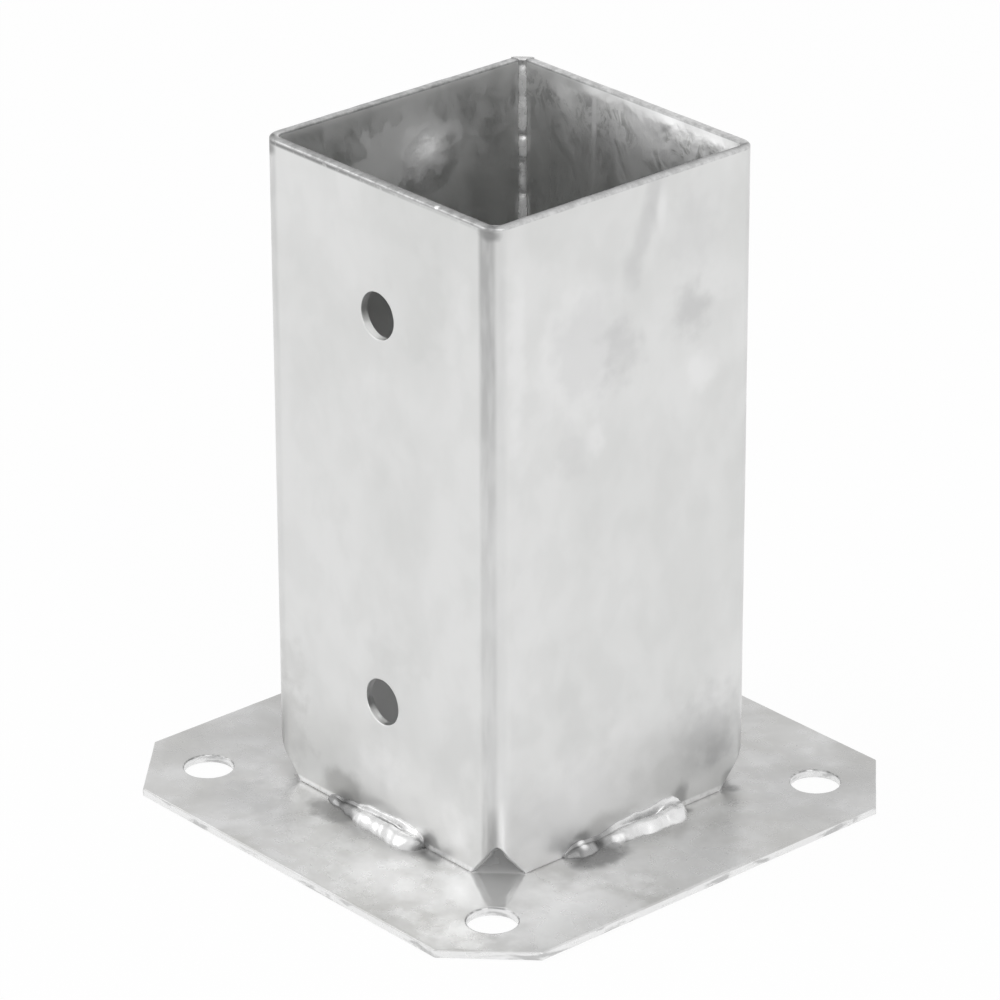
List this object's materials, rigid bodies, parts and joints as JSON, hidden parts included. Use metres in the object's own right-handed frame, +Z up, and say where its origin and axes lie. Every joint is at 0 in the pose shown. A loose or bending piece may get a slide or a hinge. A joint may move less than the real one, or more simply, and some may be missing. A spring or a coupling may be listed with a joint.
{
  "type": "timber post base",
  "caption": "Bolt-down galvanised steel foot for a square timber post: folded sleeve with cross-bolt holes and notched corners, fillet-welded on a ground plate with anchor holes.",
  "frame": {"origin": "centre of the ground plate's underside, where it rests on the ground", "axes": "+Z up along the sleeve; X and Y along the plate's sides; the two cross-bolt holes run along Y, and -Y is the holed face with the smooth weld; the folded sheet's seam is at the corner of -X and +Y"},
  "size_m": [0.13, 0.13, 0.152],
  "materials": {
    "galvanised_plate": "hot-dip galvanised, matt and cloudy",
    "galvanised_sleeve": "hot-dip galvanised, satin with cloudy mottling",
    "galvanised_weld": "hot-dip galvanised over weld beads"
  },
  "bodies": {
    "root": {"base_plate": "galvanised_plate", "post_sleeve": "galvanised_sleeve", "seam_weld": "galvanised_weld", "fillet_weld_front": "galvanised_weld", "fillet_weld_right": "galvanised_weld", "fillet_weld_back": "galvanised_weld", "fillet_weld_left": "galvanised_weld"}
  },
  "joints": []
}
